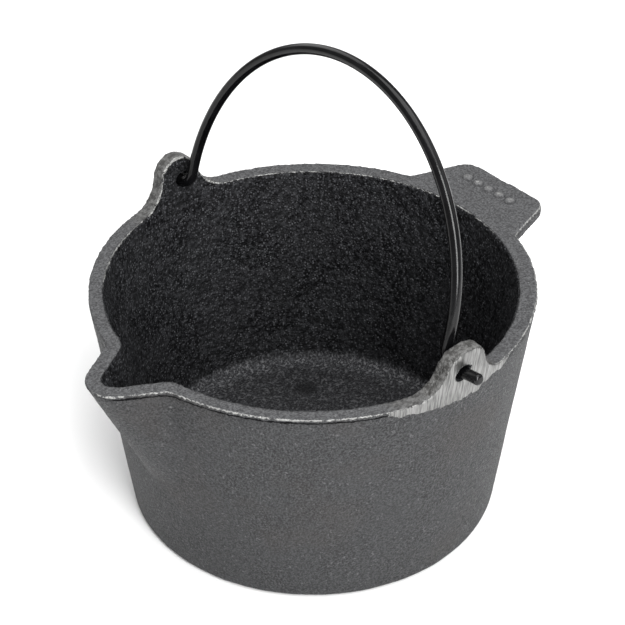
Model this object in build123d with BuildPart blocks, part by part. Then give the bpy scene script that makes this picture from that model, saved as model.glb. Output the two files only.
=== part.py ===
"""Hand-size cast-iron melting and pouring pot with a swinging wire bail.

Two real pieces: one iron casting (tapered pot, pouring spout, grip tab and two
drilled ears) and one bent wire bail whose ends turn in the ear holes.

Frame: origin at the centre of the underside, +Z up, the spout towards -X, the
grip tab towards +X and the ears at -Y and +Y. Lengths are millimetres.
"""
import os
from math import atan2, cos, hypot, pi, radians, sin, sqrt, tan

from build123d import *

# ---- driving dimensions -------------------------------------------------
rim_radius = 57.15
base_radius = 49.0
body_height = 64.0
wall_thickness = 4.4
floor_thickness = 5.0
core_shift = 0.5                # the hollow sits this far towards the spout
base_edge_radius = 1.6
floor_corner_radius = 3.5

ear_top = 75.8
ear_top_radius = 6.4
ear_root_radius = 8.6
near_ear_x = -0.4               # the cast ears sit a little off the drilled line
far_ear_x = -2.2
ear_hole_radius = 2.3
ear_hole_height = 68.8

spout_turn = 1.4                # degrees that spout and tab sit off square to the ears
tab_turn = 1.8
spout_tip = 69.8
spout_tip_radius = 7.4
spout_flank_angle = 31.0
spout_foot_height = 26.0
spout_foot_tip_radius = 18.0
spout_wall = 4.2
spout_root_radius = 5.0
channel_foot_height = 34.0
channel_foot_tip_radius = 13.5
channel_lip_radius = 5.0

tab_reach = 71.0
tab_half_width = 14.3
tab_root_half_width = 18.8
tab_thickness = 3.0
tab_corner_radius = 5.0
tab_root_radius = 3.0

pip_radius = 1.1
pip_height = 0.4
pip_draft = 25.0
pip_spacing = 4.0
pip_count = 5
pip_row_x = 64.3
pip_row_y = 0.6                 # the row sits a little towards the +Y ear

pivot_x = -1.3
pivot_height = 68.6             # the wire lies low in its larger hole
wire_radius = 1.45
bail_radius = 50.35
bail_centre_rise = 4.9          # from the pivot up to the centre of the arch
bail_lean = 15.8                # degrees from upright towards the tab
bail_bend_radius = 3.6
stub_rise_angle = 8.0           # the ends are bent a little past square
stub_reach = 7.6                # from the middle of the ear to the end of the wire
wire_end_radius = 0.8

# ---- derived values -----------------------------------------------------
wall_slope = (rim_radius - base_radius) / body_height
blank_height = ear_top + 4.0
reach = spout_tip + 20.0        # how far the cutting shapes stand out sideways
spout_back = 30.0               # both prows start inside the hollow
sink = 0.5                      # how far the foot of a prow lies behind the wall face


def outer_radius(height):
    """Outside radius of the tapered wall at a height."""
    return base_radius + wall_slope * height


def inner_radius(height):
    """Inside radius of the tapered wall at a height."""
    return outer_radius(height) - wall_thickness


def prow(levels):
    """Solid V prow along the spout, through (height, tip, tip radius) levels."""
    half = radians(spout_flank_angle)
    with BuildPart() as solid:
        for height, tip, tip_radius in levels:
            flank_x = tip - tip_radius + tip_radius * sin(half)
            flank_y = tip_radius * cos(half)
            back_y = flank_y + (flank_x - spout_back) * tan(half)
            with BuildSketch(Plane.XY.offset(height).rotated((0, 0, 180 + spout_turn))):
                with BuildLine():
                    Line((spout_back, -back_y), (flank_x, -flank_y))
                    ThreePointArc((flank_x, -flank_y), (tip, 0), (flank_x, flank_y))
                    Line((flank_x, flank_y), (spout_back, back_y))
                    Line((spout_back, back_y), (spout_back, -back_y))
                make_face()
        loft(ruled=True)
    return solid.part


def meets_wall(edge, wall_radius, centre_x):
    """True where the middle of an edge lies close to the tapered wall face."""
    centre = edge.center()
    return abs(hypot(centre.X - centre_x, centre.Y) - wall_radius(centre.Z)) < 2.0


def is_spout_root(edge):
    """Edges below the rim where the prow meets the outside of the wall."""
    centre = edge.center()
    below_rim = base_edge_radius + 2.0 < centre.Z < body_height - 0.5
    return meets_wall(edge, outer_radius, 0) and below_rim and centre.X < -45


def is_tab_root(edge):
    """Edges below the rim where the tab meets the outside of the wall."""
    centre = edge.center()
    below_rim = body_height - tab_thickness - 0.5 < centre.Z < body_height - 0.5
    return meets_wall(edge, outer_radius, 0) and below_rim and centre.X > 45


def is_channel_lip(edge):
    """Edges below the rim where the pouring channel opens into the hollow."""
    centre = edge.center()
    below_rim = channel_foot_height - 2.0 < centre.Z < body_height - 0.5
    return meets_wall(edge, inner_radius, -core_shift) and below_rim and centre.X < -40


os.makedirs("parts", exist_ok=True)

# ---- pot casting --------------------------------------------------------
foot_tip = outer_radius(spout_foot_height) - sink
channel_foot_tip = inner_radius(channel_foot_height) - sink
channel_tip = spout_tip - spout_wall
channel_tip_radius = spout_tip_radius - spout_wall

spout_solid = prow(
    [
        (spout_foot_height, foot_tip, spout_foot_tip_radius),
        (body_height, spout_tip, spout_tip_radius),
    ]
)
channel_solid = prow(
    [
        (channel_foot_height, channel_foot_tip, channel_foot_tip_radius),
        (body_height, channel_tip, channel_tip_radius),
        (blank_height, channel_tip, channel_tip_radius),
    ]
)

# ear outline: a round top that runs into the rim through two hollow arcs
ear_centre_z = ear_top - ear_top_radius
root_z = body_height + ear_root_radius
root_x = sqrt((ear_top_radius + ear_root_radius) ** 2 - (root_z - ear_centre_z) ** 2)
join_angle = atan2(root_z - ear_centre_z, root_x)
join_x = ear_top_radius * cos(join_angle)
join_z = ear_centre_z + ear_top_radius * sin(join_angle)
root_middle_angle = (pi + join_angle + 1.5 * pi) / 2
root_middle_x = root_x + ear_root_radius * cos(root_middle_angle)
root_middle_z = root_z + ear_root_radius * sin(root_middle_angle)

tab_back = 40.0
tab_flank_slope = (tab_root_half_width - tab_half_width) / (tab_reach - rim_radius)
tab_back_half_width = tab_half_width + (tab_reach - tab_back) * tab_flank_slope

with BuildPart() as pot_casting:
    # tapered body, drawn up past the height of the ears
    with BuildSketch(Plane.XZ):
        Polygon(
            (0, 0),
            (base_radius, 0),
            (outer_radius(blank_height), blank_height),
            (0, blank_height),
            align=None,
        )
    revolve(axis=Axis.Z)
    fillet(pot_casting.edges().filter_by(GeomType.CIRCLE).sort_by(Axis.Z)[0], base_edge_radius)

    # above the rim everything is cut away except one rounded ear on each side
    for side, ear_x in ((1, near_ear_x), (-1, far_ear_x)):
        with BuildSketch(Plane.XZ):
            with BuildLine():
                Polyline(
                    (ear_x - root_x, body_height),
                    (-reach, body_height),
                    (-reach, blank_height + 1),
                    (reach, blank_height + 1),
                    (reach, body_height),
                    (ear_x + root_x, body_height),
                )
                ThreePointArc(
                    (ear_x + root_x, body_height),
                    (ear_x + root_middle_x, root_middle_z),
                    (ear_x + join_x, join_z),
                )
                ThreePointArc((ear_x + join_x, join_z), (ear_x, ear_top), (ear_x - join_x, join_z))
                ThreePointArc(
                    (ear_x - join_x, join_z),
                    (ear_x - root_middle_x, root_middle_z),
                    (ear_x - root_x, body_height),
                )
            make_face()
        extrude(amount=side * reach, mode=Mode.SUBTRACT)

    # pouring spout, blended into the wall
    add(spout_solid)
    fillet(pot_casting.edges().filter_by(is_spout_root), spout_root_radius)

    # grip tab, level with the rim
    with BuildSketch(Plane.XY.offset(body_height).rotated((0, 0, tab_turn))) as tab_plan:
        with BuildLine():
            Polyline(
                (tab_back, -tab_back_half_width),
                (tab_reach, -tab_half_width),
                (tab_reach, tab_half_width),
                (tab_back, tab_back_half_width),
                close=True,
            )
        make_face()
        fillet(tab_plan.vertices().group_by(Axis.X)[-1], tab_corner_radius)
    extrude(amount=-tab_thickness)
    fillet(pot_casting.edges().filter_by(is_tab_root), tab_root_radius)

    # hollow that follows the tapered wall, with a rounded corner at the floor
    with BuildSketch(Plane.XZ) as hollow_section:
        with BuildLine():
            Polyline(
                (-core_shift, floor_thickness),
                (inner_radius(floor_thickness) - core_shift, floor_thickness),
                (inner_radius(blank_height) - core_shift, blank_height),
                (-core_shift, blank_height),
                close=True,
            )
        make_face()
        floor_corner = hollow_section.vertices().group_by(Axis.Y)[0].sort_by(Axis.X)[-1]
        fillet(floor_corner, floor_corner_radius)
    revolve(axis=Axis((-core_shift, 0, 0), (0, 0, 1)), mode=Mode.SUBTRACT)

    # pouring channel inside the spout
    add(channel_solid, mode=Mode.SUBTRACT)
    fillet(pot_casting.edges().filter_by(is_channel_lip), channel_lip_radius)

    # one hole drilled straight through both ears
    with BuildSketch(Plane.XZ):
        with Locations((pivot_x, ear_hole_height)):
            Circle(ear_hole_radius)
    extrude(amount=reach, both=True, mode=Mode.SUBTRACT)

    # row of plain raised pips along the tab
    with BuildSketch(Plane.XY.offset(body_height).rotated((0, 0, tab_turn))):
        with Locations((pip_row_x, pip_row_y)):
            with GridLocations(0, pip_spacing, 1, pip_count):
                Circle(pip_radius)
    extrude(amount=pip_height, taper=pip_draft)
pot_casting.part.label = "pot_casting"

# ---- bail handle --------------------------------------------------------
# drawn in its own leaning plane: first coordinate along the pivot, second up the bail
lean = radians(bail_lean)
bail_plane = Plane(
    origin=(pivot_x, 0, pivot_height),
    x_dir=(0, 1, 0),
    z_dir=(cos(lean), 0, -sin(lean)),
)
ear_middle = outer_radius(pivot_height) - wall_thickness / 2
stub_rise = radians(stub_rise_angle)
stub_end = ear_middle + stub_reach * cos(stub_rise)
stub_end_height = stub_reach * sin(stub_rise)
leg_height = -(ear_middle - bail_radius) * tan(stub_rise)
leg = sqrt(bail_radius**2 - (bail_centre_rise - leg_height) ** 2)

with BuildPart() as bail_handle:
    with BuildLine(bail_plane) as bail_path:
        ThreePointArc(
            (-leg, leg_height),
            (0, bail_centre_rise + bail_radius),
            (leg, leg_height),
        )
        Line((leg, leg_height), (stub_end, stub_end_height))
        Line((-leg, leg_height), (-stub_end, stub_end_height))
        fillet(bail_path.vertices().group_by(Axis.Z)[0], bail_bend_radius)
    with BuildSketch(Plane(origin=bail_path.wire() @ 0, z_dir=bail_path.wire() % 0)):
        Circle(wire_radius)
    sweep(path=bail_path.wire())
    fillet(bail_handle.faces().filter_by(GeomType.PLANE).edges(), wire_end_radius)
bail_handle.part.label = "bail_handle"

export_step(pot_casting.part, "parts/pot_casting.step")
export_step(bail_handle.part, "parts/bail_handle.step")
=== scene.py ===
"""Looks of the hand-size cast-iron melting pot: sand-cast skin, worn edges with a painted highlight,
enamelled wire bail.
"""
from itertools import product
from math import cos, pi, radians, sin, sqrt, tan

import bmesh
import bpy
import numpy as np
from mathutils import Matrix, Vector


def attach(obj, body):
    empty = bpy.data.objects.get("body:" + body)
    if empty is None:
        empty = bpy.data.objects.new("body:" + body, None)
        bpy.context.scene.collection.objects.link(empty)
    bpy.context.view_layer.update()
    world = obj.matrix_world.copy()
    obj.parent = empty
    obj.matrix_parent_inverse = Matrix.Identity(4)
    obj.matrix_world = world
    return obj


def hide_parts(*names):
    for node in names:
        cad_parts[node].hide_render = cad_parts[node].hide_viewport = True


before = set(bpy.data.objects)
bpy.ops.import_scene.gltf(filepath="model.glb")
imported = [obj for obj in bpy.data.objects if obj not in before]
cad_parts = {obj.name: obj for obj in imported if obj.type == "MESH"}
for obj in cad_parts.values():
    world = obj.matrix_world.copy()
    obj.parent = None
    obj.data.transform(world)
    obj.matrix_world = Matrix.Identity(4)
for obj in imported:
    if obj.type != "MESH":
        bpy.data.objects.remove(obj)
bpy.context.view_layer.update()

MM = 0.001

# ---- dimensions that the looks share with the CAD model (millimetres) ----
base_radius = 49.0
wall_slope = 0.12734
wall_thickness = 4.4
hollow_x = -0.5
tab_turn = radians(1.8)
pip_row_x = 64.3
pip_row_y = 0.6
pip_spacing = 4.0
pip_count = 5

pivot = Vector((-1.3, 0.0, 68.6))
ear_hole_height = 68.8
bail_lean = radians(15.8)
bail_radius = 50.35
bail_centre_rise = 4.9
bail_bend_radius = 3.6
stub_rise = radians(8.0)
stub_reach = 7.6
wire_radius = 1.45
pivot_way = Vector((0.0, 1.0, 0.0))
bail_up = Vector((sin(bail_lean), 0.0, cos(bail_lean)))
bail_side = pivot_way.cross(bail_up)    # square to the plane that the bail lies in

# ---- casting skin (millimetres) -----------------------------------------
voxel = 0.5                      # size of the skin's faces
edge_rounding_steps = 3
unevenness = 0.07                # broad waviness of the casting
lump_height = 0.035
pebble_height = 0.18             # on the inner walls
chip_depth = 0.14                # at the edges
lip_height = 0.20                # ragged lip round the front of the rim
groove_depth = 0.18              # just under that lip
pip_height = 0.36
bore_fill = 0.25                 # how much the skin narrows the drilled holes

# ---- zones of the skin (millimetres) ------------------------------------
# a pair of numbers says where a zone starts to show and where it shows fully
bore_edge = (3.0, 2.5)           # from the middle of a drilled hole
floor_ring = (38.5, 42.5)        # the pot's floor turns lighter over these radii
dark_spot_x = 18.0                   # a dark spot on the pot's floor
dark_spot_y = 25.0
dark_spot_edge = (4.5, 1.5)
lip_foot = (62.9, 63.4)          # heights of the ragged lip and of the groove under it
lip_head = (65.0, 64.6)
groove_foot = (61.9, 62.5)
groove_head = (63.3, 62.9)
# painted shadow under the lip of the rim: a thin dark line at these heights
painted_shadow_low = 63.2             # heights of the thin dark line in the material
painted_shadow_high = 63.9
painted_shadow_edge = 0.1
painted_shadow_waver = 1.2
pip_edge = (1.9, 0.9)
ear_middle_x = -2.0
ground_foot = 60.4               # the ears are ground down to this height, and less at the sides
ground_arch = 0.006
ground_end = (20.0, 17.0)        # to each side of the middle of an ear

# ---- wire ---------------------------------------------------------------
wire_sides = 36
end_rounding = 0.8               # the ends of the wire are tumbled, not ball-shaped
end_rings = 8
trimmed_rings = 4                # plain rings that each rounded end takes the place of

# ---- camera (millimetres) and light -------------------------------------
camera_place = Vector((-265.2, -323.9, 355.8))
camera_aim = Vector((4.77, 5.90, 48.32))
camera_roll = radians(-0.25)
camera_lens = 115.2
sky_strength = 0.30
light_aim = Vector((0.0, 0.0, 0.04))


# ---- small helpers ------------------------------------------------------
def smoothstep(values, low, high):
    """0 at low, 1 at high, smooth between; low may be the larger one."""
    t = np.clip((values - low) / (high - low), 0.0, 1.0)
    return t * t * (3.0 - 2.0 * t)


def soft_noise(points, cell, seed):
    """Smooth random field from -1 to 1 with lumps about one cell across."""
    table = np.random.default_rng(seed).uniform(-1.0, 1.0, 4096)
    grid = points / cell
    low = np.floor(grid).astype(np.int64)
    blend = smoothstep(grid - low, 0.0, 1.0)
    total = np.zeros(len(points))
    for corner in product((0, 1), repeat=3):
        at = low + np.array(corner)
        key = (at[:, 0] * 73856093 ^ at[:, 1] * 19349663 ^ at[:, 2] * 83492791) % len(table)
        weight = np.prod(np.where(corner, blend, 1.0 - blend), axis=1)
        total += weight * table[key]
    return total


def vertex_data(mesh):
    """(points in millimetres, normals, edges) of a mesh as arrays."""
    points = np.empty(len(mesh.vertices) * 3)
    mesh.vertices.foreach_get("co", points)
    normals = np.empty(len(mesh.vertices) * 3)
    mesh.vertex_normals.foreach_get("vector", normals)
    edges = np.empty(len(mesh.edges) * 2, np.int32)
    mesh.edges.foreach_get("vertices", edges)
    return points.reshape(-1, 3) / MM, normals.reshape(-1, 3), edges.reshape(-1, 2)


def move_vertices(mesh, points):
    """Puts a mesh's vertices at points given in millimetres."""
    mesh.vertices.foreach_set("co", (points * MM).ravel())
    mesh.update()


def neighbour_mean(values, edges):
    """Mean of each vertex's neighbours, for values with one row per vertex."""
    count = len(values)
    degree = np.bincount(edges.ravel(), minlength=count)
    columns = [
        np.bincount(edges[:, 0], column[edges[:, 1]], count)
        + np.bincount(edges[:, 1], column[edges[:, 0]], count)
        for column in values.T
    ]
    return np.stack(columns, axis=1) / degree[:, None]


def add_object(name, mesh):
    """Puts a mesh in the scene as an object."""
    piece = bpy.data.objects.new(name, mesh)
    bpy.context.scene.collection.objects.link(piece)
    return piece


# ---- casting skin -------------------------------------------------------
def remeshed_casting():
    """The casting's shape as an even mesh of small faces."""
    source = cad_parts["pot_casting"]
    solid = bmesh.new()
    solid.from_mesh(source.data)
    bmesh.ops.remove_doubles(solid, verts=solid.verts, dist=0.002 * MM)
    draft = bpy.data.meshes.new("pot_draft")
    solid.to_mesh(draft)
    solid.free()
    holder = add_object("pot_draft", draft)
    remesh = holder.modifiers.new("remesh", "REMESH")
    remesh.mode = "VOXEL"
    remesh.voxel_size = voxel * MM
    evaluated = holder.evaluated_get(bpy.context.evaluated_depsgraph_get())
    mesh = bpy.data.meshes.new_from_object(evaluated)
    bpy.data.objects.remove(holder)
    bpy.data.meshes.remove(draft)
    mesh.name = "pot_skin"
    return mesh


class Place:
    """Where each vertex of the skin lies and which way it looks."""

    def __init__(self, points, normals):
        self.points = points
        self.x, self.y, self.z = points.T
        self.up = normals[:, 2]
        self.rho = np.hypot(self.x - hollow_x, self.y)
        outward = normals[:, 0] * (self.x - hollow_x) + normals[:, 1] * self.y
        self.facing_out = outward / np.maximum(self.rho, 1e-6)
        self.hole_distance = np.hypot(self.x - pivot.x, self.z - ear_hole_height)
        self.toward_front = smoothstep(-self.y, -3.0, 5.0)


def edge_zone(points, normals, edges):
    """Edges of the casting: vertices that stand out from their neighbours."""
    bulge = ((points - neighbour_mean(points, edges)) * normals).sum(axis=1)
    bulge = 0.5 * bulge + 0.5 * neighbour_mean(bulge[:, None], edges)[:, 0]
    return smoothstep(bulge, 0.016, 0.045)


def hollow_zones(at):
    """(inside, drilled holes, pot floor, tone of the pot floor)."""
    wall = smoothstep(at.facing_out, -0.25, -0.6)
    bottom = smoothstep(at.z, 14.0, 9.0) * smoothstep(at.up, 0.0, 0.3)
    bore = smoothstep(at.hole_distance, *bore_edge)
    # the drilled holes take the near-black inside colour as painted shade
    inside = np.maximum(np.clip(wall + bottom, 0.0, 1.0), bore)
    bottom_inside = bottom * smoothstep(at.rho, 46.5, 44.0) * smoothstep(at.z, 8.5, 6.5)
    ring = smoothstep(at.rho + 1.2 * soft_noise(at.points, 7.0, 13), *floor_ring)
    dark_spot = smoothstep(np.hypot(at.x - dark_spot_x, at.y - dark_spot_y), *dark_spot_edge)
    floor_tone = 0.50 + 0.50 * ring - 0.45 * dark_spot
    return inside, bore, bottom_inside, floor_tone


def wear_and_highlight_zone(at):
    """Wear on the edges, with a painted highlight: it shows on the outer edge in front and on the inner
    edge at the back, the edges that face the front.
    """
    toward_back = smoothstep(at.y + 0.5 * at.x, 0.0, 15.0)
    outer_edge = smoothstep(at.facing_out, -0.05, 0.3)
    on_tab = 0.6 * smoothstep(at.x, 55.0, 59.0)
    wear_and_highlight = outer_edge * np.maximum(at.toward_front, on_tab) + (1.0 - outer_edge) * toward_back
    near_ear = smoothstep(-at.y, 40.0, 46.0) * smoothstep(at.z, 64.3, 66.0)
    return wear_and_highlight * (1.0 - 0.8 * near_ear)


def lip_zones(at):
    """(front of the rim, which takes the painted shadow line; ragged lip along it; groove under the lip).
    """
    ragged = soft_noise(at.points, 1.3, 9) + 0.6 * soft_noise(at.points, 0.7, 10)
    zone = smoothstep(at.facing_out, 0.3, 0.6) * at.toward_front * smoothstep(at.x, 58.0, 55.0)
    z = at.z - 0.25 * ragged
    lip = zone * smoothstep(z, *lip_foot) * smoothstep(at.z, *lip_head)
    groove = zone * smoothstep(z, *groove_foot) * smoothstep(z, *groove_head)
    return zone, lip, groove


def raw_zone(at, inside, top):
    """Tops of the ears, left raw from the mould, and a patch beside each ear."""
    away = np.abs(at.y)
    raw = smoothstep(away, 43.0, 45.0) * smoothstep(at.z, 64.2, 65.5) * smoothstep(inside, 0.6, 0.2)
    left_root = smoothstep(at.x, -4.0, -8.0) * smoothstep(at.x, -22.0, -16.0)
    raw = np.maximum(raw, 0.8 * left_root * top * smoothstep(away, 46.0, 50.0))
    return raw * np.where(at.y > 0.0, 0.85, 1.0)


def ground_zone(at):
    """Outsides of both ears, ground down to just below the rim."""
    wobble = soft_noise(at.points, 2.2, 11) + 0.5 * soft_noise(at.points, 0.9, 12)
    ear_side = smoothstep(np.abs(at.y), 46.0, 49.0) * smoothstep(at.facing_out, 0.70, 0.92)
    lower_edge = ground_foot + ground_arch * (at.x - ear_middle_x) ** 2 + 0.9 * wobble
    within_ends = smoothstep(np.abs(at.x - ear_middle_x) + 1.5 * wobble, *ground_end)
    return ear_side * smoothstep(at.z, lower_edge - 0.4, lower_edge + 0.4) * within_ends


def pip_zone(at, top):
    """Row of plain raised pips on the tab."""
    pips = np.zeros(len(at.points))
    for offset in pip_row_y + pip_spacing * (np.arange(pip_count) - (pip_count - 1) / 2):
        pip_x = pip_row_x * cos(tab_turn) - offset * sin(tab_turn)
        pip_y = pip_row_x * sin(tab_turn) + offset * cos(tab_turn)
        pips += top * smoothstep(np.hypot(at.x - pip_x, at.y - pip_y), *pip_edge)
    return pips


def make_skin():
    """Skin of the casting, with its relief, and its zones kept for the material."""
    mesh = remeshed_casting()
    points, _, edges = vertex_data(mesh)

    # edges of the casting are rounded by the sand mould
    for _ in range(edge_rounding_steps):
        points += 0.5 * (neighbour_mean(points, edges) - points)
    move_vertices(mesh, points)
    points, normals, edges = vertex_data(mesh)

    at = Place(points, normals)
    edge_share = edge_zone(points, normals, edges)
    inside, bore, bottom_inside, floor_tone = hollow_zones(at)
    top = smoothstep(at.up, 0.55, 0.85) * smoothstep(at.z, 61.0, 62.5)
    lip_zone, lip, groove = lip_zones(at)
    ground = ground_zone(at)
    unground = 1.0 - ground
    raw = raw_zone(at, inside, top) * unground
    pips = pip_zone(at, top)
    # edges worn bright, kept only where they face the front, as a painted highlight
    worn_and_highlit_edge = edge_share * wear_and_highlight_zone(at) * unground * smoothstep(at.hole_distance, 3.3, 4.5)

    # rough skin: broad unevenness, lumps, and pebbles on the inside
    broad = soft_noise(points, 13.0, 1) + 0.5 * soft_noise(points, 6.0, 2)
    lumps = soft_noise(points, 2.6, 3) + 0.6 * soft_noise(points, 1.3, 4)
    pebbles = soft_noise(points, 1.9, 5) + 0.7 * soft_noise(points, 1.0, 6)
    chips = soft_noise(points, 3.1, 7) + soft_noise(points, 1.4, 8)
    height = unevenness * broad + lump_height * lumps * (1.0 - 0.5 * top)
    height += (inside - 0.7 * bottom_inside) * pebble_height * pebbles
    height -= edge_share * chip_depth * np.clip(chips, 0.0, None)
    height += bore_fill * bore
    height += unground * (lip_height * lip - groove_depth * groove) + 0.10 * raw * pebbles
    height *= 1.0 - 0.85 * ground
    height += pip_height * smoothstep(pips, 0.15, 0.85)

    points = points + normals * height[:, None]
    points[:, 2] = np.maximum(points[:, 2], 0.0)
    move_vertices(mesh, points)
    mesh.polygons.foreach_set("use_smooth", [True] * len(mesh.polygons))
    zones = {
        "worn_and_highlit_edge": worn_and_highlit_edge,
        "inside": inside,
        "bottom_inside": bottom_inside,
        "top": top,
        "ground": ground,
        "lip_zone": lip_zone * unground,
        "floor_tone": floor_tone,
        "pips": pips,
        "raw": raw,
    }
    for name, values in zones.items():
        layer = mesh.attributes.new(name, "FLOAT", "POINT")
        layer.data.foreach_set("value", values.astype(np.float32))
    return add_object("pot_skin", mesh)


# ---- wire bail ----------------------------------------------------------
def bail_path():
    """Points along the middle of the wire, in millimetres, from one end to the other."""
    ear_middle = base_radius + wall_slope * pivot.z - wall_thickness / 2
    leg_height = -(ear_middle - bail_radius) * tan(stub_rise)
    leg = sqrt(bail_radius**2 - (bail_centre_rise - leg_height) ** 2)
    foot = Vector((leg, leg_height))
    stub_end = Vector((ear_middle + stub_reach * cos(stub_rise), stub_reach * sin(stub_rise)))
    centre = Vector((0.0, bail_centre_rise))

    stub_way = (stub_end - foot).normalized()
    leg_way = Vector((-(foot - centre).y, (foot - centre).x)).normalized()
    half_turn = stub_way.angle(-leg_way) / 2
    trim = bail_bend_radius * tan(half_turn)
    trim_angle = trim / bail_radius
    foot_angle = np.arctan2(foot.y - centre.y, foot.x - centre.x)

    arch = [
        centre + bail_radius * Vector((cos(a), sin(a)))
        for a in np.linspace(pi / 2, foot_angle + trim_angle, 160)
    ]
    start = arch[-1]
    start_way = Vector(((start - centre).y, -(start - centre).x)).normalized()
    bend_end = foot + stub_way * trim
    middle = start + start_way * trim
    weight = cos(half_turn)
    bend = []
    for t in np.linspace(0, 1, 25)[1:]:
        shares = ((1 - t) ** 2, 2 * weight * t * (1 - t), t * t)
        total = sum(shares)
        bend.append((start * shares[0] + middle * shares[1] + bend_end * shares[2]) / total)
    stub = [bend_end.lerp(stub_end, t) for t in np.linspace(0, 1, 24)[1:]]
    half = arch + bend + stub
    return [Vector((-p.x, p.y)) for p in reversed(half)] + half[1:]


def wire_rings():
    """(centre, direction, radius) of each ring of the wire, rounded at both ends."""
    centres = [pivot + pivot_way * p.x + bail_up * p.y for p in bail_path()]
    last = len(centres) - 1
    rings = []
    for i, centre in enumerate(centres):
        way = (centres[min(i + 1, last)] - centres[max(i - 1, 0)]).normalized()
        rings.append((centre, way, wire_radius))
    start, start_way, _ = rings[0]
    end, end_way, _ = rings[-1]
    head = []
    tail = []
    for angle in np.linspace(pi / 2, 0.0, end_rings):
        drop = end_rounding * (1 - sin(angle))
        radius = wire_radius - end_rounding * (1 - cos(angle))
        head.append((start + start_way * drop, start_way, radius))
        tail.insert(0, (end - end_way * drop, end_way, radius))
    return head + rings[trimmed_rings:-trimmed_rings] + tail


def make_bail():
    """Round wire swept along the path."""
    turn = [2 * pi * k / wire_sides for k in range(wire_sides)]
    wire = bmesh.new()
    loops = []
    for centre, way, radius in wire_rings():
        other = way.cross(bail_side).normalized()
        places = [(centre + (bail_side * cos(a) + other * sin(a)) * radius) * MM for a in turn]
        loops.append([wire.verts.new(place) for place in places])
    for low, high in zip(loops, loops[1:]):
        for k in range(wire_sides):
            j = (k + 1) % wire_sides
            wire.faces.new((low[k], low[j], high[j], high[k]))
    wire.faces.new(loops[0][::-1])
    wire.faces.new(loops[-1])
    bmesh.ops.recalc_face_normals(wire, faces=wire.faces)
    for face in wire.faces:
        face.smooth = True
    mesh = bpy.data.meshes.new("bail_wire")
    wire.to_mesh(mesh)
    wire.free()
    return add_object("bail_wire", mesh)


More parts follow.
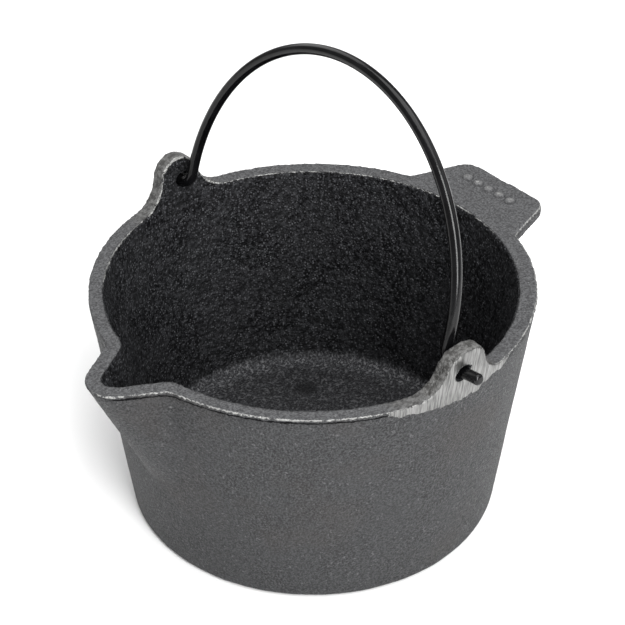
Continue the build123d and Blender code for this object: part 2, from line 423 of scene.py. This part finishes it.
# ---- materials ----------------------------------------------------------
class Nodes:
    """Short names for building one node material."""

    def __init__(self, name):
        self.material = bpy.data.materials.new(name)
        self.material.use_nodes = True
        self.tree = self.material.node_tree
        self.tree.nodes.clear()
        self.output = self.tree.nodes.new("ShaderNodeOutputMaterial")
        self.place = self.tree.nodes.new("ShaderNodeTexCoord").outputs["Object"]

    def put(self, socket, value):
        """Links a socket into another, or sets a constant on it."""
        if isinstance(value, bpy.types.NodeSocket):
            self.tree.links.new(value, socket)
        else:
            socket.default_value = value

    def height(self):
        """Height above the floor, in metres."""
        axes = self.tree.nodes.new("ShaderNodeSeparateXYZ")
        self.put(axes.inputs["Vector"], self.place)
        return axes.outputs["Z"]

    def noise(self, scale, detail=3.0, roughness=0.55, stretch=None):
        """Random field around 0.5; stretch scales each axis before the noise."""
        place = self.place
        if stretch:
            mapping = self.tree.nodes.new("ShaderNodeMapping")
            self.put(mapping.inputs["Vector"], place)
            mapping.inputs["Scale"].default_value = stretch
            place = mapping.outputs["Vector"]
        node = self.tree.nodes.new("ShaderNodeTexNoise")
        self.put(node.inputs["Vector"], place)
        node.inputs["Scale"].default_value = scale
        node.inputs["Detail"].default_value = detail
        node.inputs["Roughness"].default_value = roughness
        return node.outputs["Fac"]

    def cells(self, scale):
        """(distance from the middle of rounded cells, a random number for each cell)."""
        node = self.tree.nodes.new("ShaderNodeTexVoronoi")
        self.put(node.inputs["Vector"], self.place)
        node.inputs["Scale"].default_value = scale
        parts = self.tree.nodes.new("ShaderNodeSeparateColor")
        self.put(parts.inputs["Color"], node.outputs["Color"])
        return node.outputs["Distance"], parts.outputs["Red"]

    def attribute(self, name):
        """One of the zones kept on the skin's vertices."""
        node = self.tree.nodes.new("ShaderNodeAttribute")
        node.attribute_name = name
        return node.outputs["Fac"]

    def math(self, operation, a, b):
        """One arithmetic node."""
        node = self.tree.nodes.new("ShaderNodeMath")
        node.operation = operation
        self.put(node.inputs[0], a)
        self.put(node.inputs[1], b)
        return node.outputs[0]

    def add(self, a, b):
        """Sum of two values."""
        return self.math("ADD", a, b)

    def times(self, a, b):
        """Product of two values."""
        return self.math("MULTIPLY", a, b)

    def step(self, value, low, high, to_low=0.0, to_high=1.0):
        """Smooth ramp of a value between two limits."""
        node = self.tree.nodes.new("ShaderNodeMapRange")
        node.interpolation_type = "SMOOTHSTEP"
        self.put(node.inputs["Value"], value)
        for key, number in (("From Min", low), ("From Max", high), ("To Min", to_low), ("To Max", to_high)):
            node.inputs[key].default_value = number
        return node.outputs["Result"]

    def band(self, value, low, high, edge):
        """1 between low and high, falling to 0 over edge on both sides."""
        rise = self.step(value, low - edge, low + edge)
        fall = self.step(value, high + edge, high - edge)
        return self.times(rise, fall)

    def mix(self, share, a, b):
        """Colour a turning to colour b by share; a colour is a socket or (red, green, blue)."""
        node = self.tree.nodes.new("ShaderNodeMix")
        node.data_type = "RGBA"
        self.put(node.inputs["Factor"], share)
        for key, value in (("A", a), ("B", b)):
            socket = [s for s in node.inputs if s.name == key and s.type == "RGBA"][0]
            self.put(socket, (*value, 1.0) if isinstance(value, tuple) else value)
        return [s for s in node.outputs if s.type == "RGBA"][0]

    def blend(self, share, a, b):
        """Number a turning to number b by share."""
        node = self.tree.nodes.new("ShaderNodeMix")
        node.data_type = "FLOAT"
        self.put(node.inputs[0], share)
        self.put(node.inputs[2], a)
        self.put(node.inputs[3], b)
        return node.outputs[0]

    def bump(self, height, distance):
        """Normal tilted by a height field; distance is in metres."""
        node = self.tree.nodes.new("ShaderNodeBump")
        self.put(node.inputs["Height"], height)
        node.inputs["Distance"].default_value = distance
        node.inputs["Strength"].default_value = 1.0
        return node.outputs["Normal"]

    def finish(self, **sockets):
        """Ends the tree in one shader; an underscore in a socket's name stands for a space."""
        shader = self.tree.nodes.new("ShaderNodeBsdfPrincipled")
        for key, value in sockets.items():
            self.put(shader.inputs[key.replace("_", " ")], value)
        self.put(self.output.inputs["Surface"], shader.outputs["BSDF"])
        return self.material


def outside_colour(m, fine, grain, patches, blotch, groove):
    """Mid grey grain with a few bright specks, warmer patches and small scuffs."""
    colour = m.mix(m.step(fine, 0.34, 0.66), (0.014, 0.014, 0.015), (0.053, 0.054, 0.056))
    colour = m.mix(m.step(patches, 0.35, 0.65, 0.0, 0.35), colour, (0.040, 0.041, 0.043))
    colour = m.mix(m.step(grain, 0.62, 0.70, 0.0, 0.8), colour, (0.115, 0.115, 0.119))
    colour = m.mix(m.step(m.noise(34), 0.50, 0.66, 0.0, 0.35), colour, (0.040, 0.035, 0.033))

    scuff, scuff_luck = m.cells(110)
    scuff = m.add(scuff, m.times(m.math("SUBTRACT", grain, 0.5), 0.16))
    scuff = m.times(m.step(scuff, 0.06, 0.02), m.step(scuff_luck, 0.72, 0.74))
    colour = m.mix(m.times(scuff, 0.8), colour, (0.17, 0.17, 0.17))

    on_top = m.mix(m.step(fine, 0.34, 0.66), (0.037, 0.037, 0.039), (0.095, 0.096, 0.099))
    on_top = m.mix(m.step(grain, 0.63, 0.72, 0.0, 0.7), on_top, (0.155, 0.155, 0.16))
    colour = m.mix(m.attribute("top"), colour, on_top)
    # painted shadow in the groove under the lip of the rim
    colour = m.mix(m.times(groove, 0.92), colour, (0.007, 0.007, 0.0075))

    # the pips get painted shade at the foot and a painted highlight on top
    pips = m.attribute("pips")
    colour = m.mix(m.times(m.band(pips, 0.12, 0.45, 0.1), 0.7), colour, (0.022, 0.022, 0.023))
    colour = m.mix(m.step(pips, 0.70, 0.95, 0.0, 0.35), colour, (0.22, 0.22, 0.22))

    # the raw tops of the ears are blotched
    raw_tone = m.mix(m.step(blotch, 0.38, 0.62), (0.040, 0.039, 0.037), (0.140, 0.139, 0.136))
    return m.mix(m.attribute("raw"), colour, raw_tone)


def inside_colour(m, fine, grain, patches, pebble, pebble_luck):
    """Near-black with painted glints on the crests of the pebbles; the pot's floor is lighter."""
    # painted glints: grey on the crests of some pebbles
    crest_glint = m.times(m.step(pebble, 0.55, 0.10), m.step(pebble_luck, 0.30, 0.95))
    colour = m.mix(m.step(grain, 0.44, 0.62), (0.0018, 0.0019, 0.0023), (0.021, 0.0215, 0.0235))
    colour = m.mix(crest_glint, colour, (0.090, 0.092, 0.098))
    colour = m.mix(m.step(patches, 0.42, 0.62, 0.0, 0.12), colour, (0.050, 0.051, 0.054))

    pot_floor_low = m.mix(m.step(fine, 0.36, 0.64), (0.004, 0.004, 0.0045), (0.012, 0.012, 0.013))
    pot_floor_high = m.mix(m.step(fine, 0.40, 0.62), (0.016, 0.016, 0.0175), (0.060, 0.061, 0.065))
    pot_floor_high = m.mix(m.step(grain, 0.54, 0.64, 0.0, 0.9), pot_floor_high, (0.145, 0.146, 0.152))
    pot_floor_colour = m.mix(m.attribute("floor_tone"), pot_floor_low, pot_floor_high)
    return m.mix(m.times(m.attribute("bottom_inside"), 0.9), colour, pot_floor_colour)


def cast_iron():
    """Sand-cast iron: grey grain outside, near-black pebbles inside with painted glints on their crests,
    bright where ground and where worn, with a painted highlight on the worn edges that face the front.
    """
    m = Nodes("cast_iron")
    inside = m.attribute("inside")
    fine = m.noise(1900, 2.0, 0.6)
    grain = m.noise(950, 3.0, 0.65)
    patches = m.noise(95, 3.0, 0.6)
    pebble, pebble_luck = m.cells(1600)
    wear_noise = m.noise(700, 4.0, 0.7)

    # painted shadow: a thin dark line in the groove under the lip of the rim, at a wavering height
    wavering = m.add(m.height(), m.times(wear_noise, painted_shadow_waver * MM))
    line = m.band(wavering, painted_shadow_low * MM, painted_shadow_high * MM, painted_shadow_edge * MM)
    groove = m.times(line, m.attribute("lip_zone"))

    outer = outside_colour(m, fine, grain, patches, wear_noise, groove)
    inner = inside_colour(m, fine, grain, patches, pebble, pebble_luck)
    colour = m.mix(inside, outer, inner)

    # worn edges: real wear, brightened as a painted highlight on the edges that face the front
    worn_and_highlit = m.times(m.step(m.attribute("worn_and_highlit_edge"), 0.55, 0.95), m.step(wear_noise, 0.40, 0.54))
    colour = m.mix(m.times(worn_and_highlit, 0.9), colour, (0.38, 0.38, 0.37))

    # ground ears: silver with fine scratches and a ragged boundary
    scratches = m.noise(1.0, 3.0, 0.6, stretch=(2400, 300, 160))
    silver = m.mix(m.step(scratches, 0.35, 0.65), (0.11, 0.11, 0.108), (0.27, 0.27, 0.264))
    ground_share = m.attribute("ground")
    ragged = m.add(ground_share, m.times(m.math("SUBTRACT", grain, 0.5), 1.6))
    ground = m.times(m.step(ragged, 0.40, 0.60), m.step(ground_share, 0.02, 0.10))
    colour = m.mix(ground, colour, silver)

    bare = m.math("MAXIMUM", ground, m.times(worn_and_highlit, 0.7))
    metallic = m.blend(bare, m.blend(inside, 0.2, 0.05), 0.9)
    rough_outer = m.step(fine, 0.3, 0.7, 0.72, 0.55)
    rough_inner = m.step(fine, 0.3, 0.7, 0.70, 0.50)
    rough_bare = m.step(scratches, 0.3, 0.7, 0.42, 0.30)
    roughness = m.blend(bare, m.blend(inside, rough_outer, rough_inner), rough_bare)
    gloss = m.blend(groove, m.blend(inside, 0.38, 0.14), 0.0)

    pebbled = m.add(m.times(pebble, -0.40), m.times(grain, 0.35))
    pebbled = m.blend(m.attribute("bottom_inside"), pebbled, m.times(grain, 0.5))
    height = m.add(m.blend(inside, grain, pebbled), m.times(fine, 0.5))
    height = m.times(height, m.blend(ground, 1.0, 0.05))
    height = m.add(height, m.times(ground, m.times(scratches, 0.12)))
    return m.finish(
        Base_Color=colour,
        Metallic=metallic,
        Roughness=roughness,
        Specular_IOR_Level=gloss,
        Normal=m.bump(height, 0.0005),
    )


def black_wire():
    """Glossy black enamel with a slightly uneven coat and a little dust."""
    m = Nodes("black_wire")
    flow = m.noise(160, 3.0, 0.55)
    dust = m.noise(1800, 2.0, 0.6)
    colour = m.mix(m.step(flow, 0.35, 0.65), (0.002, 0.002, 0.0022), (0.004, 0.004, 0.0045))
    colour = m.mix(m.step(dust, 0.68, 0.78, 0.0, 0.4), colour, (0.03, 0.03, 0.03))
    roughness = m.step(flow, 0.3, 0.7, 0.13, 0.20)
    normal = m.bump(m.add(flow, m.times(dust, 0.08)), 0.00012)
    return m.finish(Base_Color=colour, Specular_IOR_Level=0.28, Roughness=roughness, Normal=normal)


def pale_floor():
    """Matt, nearly white table."""
    m = Nodes("pale_floor")
    tone = m.noise(14, 2.0, 0.5)
    colour = m.mix(m.step(tone, 0.3, 0.7), (0.86, 0.86, 0.86), (0.88, 0.88, 0.88))
    return m.finish(Base_Color=colour, Roughness=0.8)


# ---- pieces -------------------------------------------------------------
skin = make_skin()
skin.data.materials.clear()
skin.data.materials.append(cast_iron())
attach(skin, "pot")
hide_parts("pot_casting")

bail = make_bail()
bail.data.materials.append(black_wire())
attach(bail, "bail")
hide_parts("bail_handle")

# ---- floor, light and camera --------------------------------------------
# the floor lies a hair below the pot, so that no faces share one plane
floor_grid = bmesh.new()
bmesh.ops.create_grid(floor_grid, x_segments=2, y_segments=2, size=4.0)
bmesh.ops.translate(floor_grid, verts=floor_grid.verts, vec=(0.0, 0.0, -0.05 * MM))
floor_mesh = bpy.data.meshes.new("floor")
floor_grid.to_mesh(floor_mesh)
floor_grid.free()
floor = add_object("floor", floor_mesh)
floor.data.materials.append(pale_floor())

world = bpy.data.worlds.new("studio")
world.use_nodes = True
sky = world.node_tree.nodes["Background"]
sky.inputs["Color"].default_value = (1.0, 1.0, 1.0, 1.0)
sky.inputs["Strength"].default_value = sky_strength
bpy.context.scene.world = world
bpy.context.scene.view_settings.view_transform = "Standard"


def soft_light(name, place, width, height, power):
    """Rectangular area light that looks at the middle of the pot."""
    lamp = bpy.data.lights.new(name, "AREA")
    lamp.shape = "RECTANGLE"
    lamp.size = width
    lamp.size_y = height
    lamp.energy = power
    holder = bpy.data.objects.new(name, lamp)
    bpy.context.scene.collection.objects.link(holder)
    turn = (light_aim - Vector(place)).to_track_quat("-Z", "Y").to_matrix().to_4x4()
    holder.matrix_world = Matrix.Translation(place) @ turn


soft_light("tall_front_light", (-0.27, -0.84, 0.66), width=0.40, height=1.10, power=19.0)
soft_light("right_light", (0.75, -0.45, 0.95), width=1.2, height=1.2, power=3.5)
soft_light("overhead_light", (0.05, 0.05, 1.35), width=1.2, height=1.2, power=14.0)
soft_light("back_light", (0.15, 0.95, 0.75), width=0.8, height=0.8, power=4.0)

lens = bpy.data.cameras.new("camera")
lens.lens = camera_lens
lens.sensor_width = 36.0
lens.clip_end = 20.0
camera = bpy.data.objects.new("camera", lens)
bpy.context.scene.collection.objects.link(camera)
look = (camera_aim - camera_place).to_track_quat("-Z", "Y").to_matrix().to_4x4()
camera.matrix_world = Matrix.Translation(camera_place * MM) @ look @ Matrix.Rotation(camera_roll, 4, "Z")
bpy.context.scene.camera = camera
